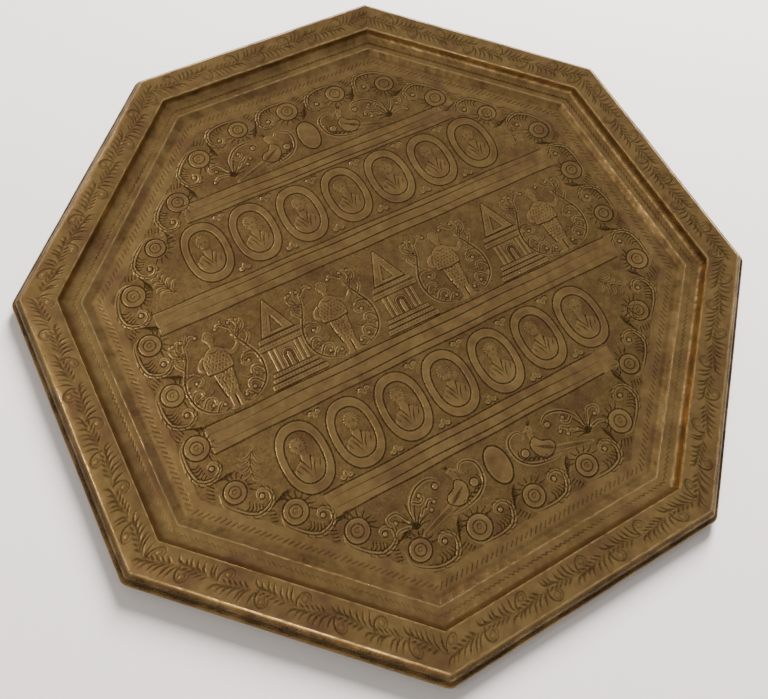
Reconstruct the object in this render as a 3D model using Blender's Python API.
"""Octagonal brass tray: one hammered sheet whose edge is rolled over a rim wire.

Metres, +Z up. The origin is on the table, under the middle of the floor, and the
flats of the octagon face +X, -X, +Y and -Y.
"""

from math import atan2, cos, hypot, pi, radians, sin, tan

import bmesh
import bpy

MM = 0.001

# Half widths are measured from the middle to a flat of the octagon.
ACROSS_FLATS = 420 * MM
SHEET = 1.1 * MM
FLOOR_EDGE = 170.2 * MM
LEDGE_RIDGE = 174.2 * MM
COVE_FOOT = 183.9 * MM
FLANGE_INNER = 184.6 * MM
FLANGE_OUTER = 203.0 * MM
SKIRT_KNEE = 206.2 * MM

# Heights of the upper face above the table.
LEDGE_RIDGE_Z = 3.9 * MM
LEDGE_Z = 4.1 * MM
FLANGE_INNER_Z = 11.0 * MM
FLANGE_OUTER_Z = 12.5 * MM
SKIRT_KNEE_Z = 10.4 * MM

# Bend radii of the upper face.
FLOOR_BEND = 2.0 * MM
RIDGE_BEND = 1.5 * MM
COVE_BEND = 5.5 * MM
CREASE_BEND = 1.4 * MM
KNEE_BEND = 3.5 * MM
STEPS_PER_BEND = 3
STEPS_IN_COVE = 6

# The rolled edge: the sheet wraps the wire and stops short of the skirt.
BEAD_RADIUS = 2.1 * MM
BEAD_Z = 5.3 * MM
CURL_START = radians(106)
CURL_TURN = radians(280)
STEPS_IN_CURL = 10
WIRE_RADIUS = 0.7 * MM
WIRE_BUTT_GAP = 0.6 * MM

# Corners of the octagon, rounder at the rolled edge than inside.
BEAD_CORNER = 6.5 * MM
INNER_CORNER = 2.0 * MM
STEPS_PER_CORNER = 3

HALF_TURN = pi
CORNERS = 8
HALF_CORNER = HALF_TURN / CORNERS
OUTER = ACROSS_FLATS / 2
BEAD_MIDDLE = OUTER - BEAD_RADIUS


def clear_scene():
    for thing in list(bpy.data.objects):
        bpy.data.objects.remove(thing, do_unlink=True)


def rounded(points):
    """The section's outline: each (half width, height, radius, steps) point becomes an arc tangent to its lines."""
    outline = [points[0][:2]]
    for before, here, after in zip(points, points[1:], points[2:]):
        into = (here[0] - before[0], here[1] - before[1])
        out = (after[0] - here[0], after[1] - here[1])
        turn = atan2(into[0] * out[1] - into[1] * out[0], into[0] * out[0] + into[1] * out[1])
        radius, steps = here[2], here[3]
        length = hypot(*into)
        along = (into[0] / length, into[1] / length)
        side = 1 if turn > 0 else -1
        reach = radius * tan(abs(turn) / 2)
        start = (here[0] - along[0] * reach, here[1] - along[1] * reach)
        centre = (start[0] - along[1] * radius * side, start[1] + along[0] * radius * side)
        first = atan2(start[1] - centre[1], start[0] - centre[0])
        for step in range(steps + 1):
            angle = first + turn * step / steps
            outline.append((centre[0] + radius * cos(angle), centre[1] + radius * sin(angle)))
    outline.append(points[-1][:2])
    return outline


def sheet_outline():
    """The upper face from the floor's edge to the end of the curl, as half widths and heights."""
    bead_top = (BEAD_MIDDLE + BEAD_RADIUS * cos(CURL_START), BEAD_Z + BEAD_RADIUS * sin(CURL_START))
    outline = rounded([
        (FLOOR_EDGE - 3 * FLOOR_BEND, SHEET),
        (FLOOR_EDGE, SHEET, FLOOR_BEND, STEPS_PER_BEND),
        (LEDGE_RIDGE, LEDGE_RIDGE_Z, RIDGE_BEND, STEPS_PER_BEND),
        (COVE_FOOT, LEDGE_Z, COVE_BEND, STEPS_IN_COVE),
        (FLANGE_INNER, FLANGE_INNER_Z, CREASE_BEND, STEPS_PER_BEND),
        (FLANGE_OUTER, FLANGE_OUTER_Z, CREASE_BEND, STEPS_PER_BEND),
        (SKIRT_KNEE, SKIRT_KNEE_Z, KNEE_BEND, STEPS_PER_BEND),
        bead_top,
    ])
    for step in range(1, STEPS_IN_CURL + 1):
        angle = CURL_START - CURL_TURN * step / STEPS_IN_CURL
        outline.append((BEAD_MIDDLE + BEAD_RADIUS * cos(angle), BEAD_Z + BEAD_RADIUS * sin(angle)))
    return outline


def corner_radius(half_width):
    """Corners are concentric round the rolled edge, and keep one small radius inside it."""
    return max(INNER_CORNER, BEAD_CORNER - (OUTER - half_width))


def octagon(half_width, height):
    """One level line of the tray: an octagon with rounded corners."""
    radius = corner_radius(half_width)
    ring = []
    for corner in range(CORNERS):
        facing = HALF_CORNER * (2 * corner + 1)
        reach = (half_width - radius) / cos(HALF_CORNER)
        for step in range(STEPS_PER_CORNER + 1):
            angle = facing - HALF_CORNER + 2 * HALF_CORNER * step / STEPS_PER_CORNER
            ring.append((
                reach * cos(facing) + radius * cos(angle),
                reach * sin(facing) + radius * sin(angle),
                height,
            ))
    return ring


def make_material(name, colour, roughness, metallic):
    material = bpy.data.materials.new(name)
    material.use_nodes = True
    shader = material.node_tree.nodes["Principled BSDF"]
    shader.inputs["Base Color"].default_value = (*colour, 1)
    shader.inputs["Roughness"].default_value = roughness
    shader.inputs["Metallic"].default_value = metallic
    material.diffuse_color = (*colour, 1)
    return material


def make_tray_sheet():
    """Floor, ledge, cove, flange, skirt and rolled edge, all in one thickness of sheet."""
    mesh = bpy.data.meshes.new("tray_sheet")
    bm = bmesh.new()
    rings = [[bm.verts.new(point) for point in octagon(*level)] for level in sheet_outline()]
    bm.faces.new(rings[0])
    for inner, outer in zip(rings, rings[1:]):
        for i in range(len(inner)):
            j = (i + 1) % len(inner)
            bm.faces.new((inner[i], outer[i], outer[j], inner[j]))
    bmesh.ops.recalc_face_normals(bm, faces=bm.faces)
    bm.faces.ensure_lookup_table()
    if bm.faces[0].normal.z < 0:
        bmesh.ops.reverse_faces(bm, faces=bm.faces)
    bm.to_mesh(mesh)
    bm.free()
    tray = bpy.data.objects.new("tray_sheet", mesh)
    bpy.context.collection.objects.link(tray)
    gauge = tray.modifiers.new("sheet_thickness", "SOLIDIFY")
    gauge.thickness = SHEET
    gauge.offset = -1
    gauge.use_even_offset = True
    mesh.shade_smooth()
    mesh.set_sharp_from_angle(angle=radians(35))
    mesh.materials.append(make_material("aged_brass", (0.29, 0.18, 0.06), 0.36, 1.0))
    return tray


def make_rim_wire():
    """The wire inside the rolled edge: one length bent round the tray, its ends butted on the +X side."""
    route = octagon(BEAD_MIDDLE, BEAD_Z)
    start = (BEAD_MIDDLE, WIRE_BUTT_GAP / 2, BEAD_Z)
    end = (BEAD_MIDDLE, -WIRE_BUTT_GAP / 2, BEAD_Z)
    points = [start, *route, end]
    curve = bpy.data.curves.new("rim_wire", "CURVE")
    curve.dimensions = "3D"
    curve.bevel_depth = WIRE_RADIUS
    curve.bevel_resolution = 2
    curve.use_fill_caps = True
    spline = curve.splines.new("POLY")
    spline.points.add(len(points) - 1)
    for place, point in zip(spline.points, points):
        place.co = (*point, 1)
    wire = bpy.data.objects.new("rim_wire", curve)
    bpy.context.collection.objects.link(wire)
    curve.materials.append(make_material("iron_wire", (0.22, 0.20, 0.18), 0.55, 1.0))
    return wire


clear_scene()
make_tray_sheet()
make_rim_wire()
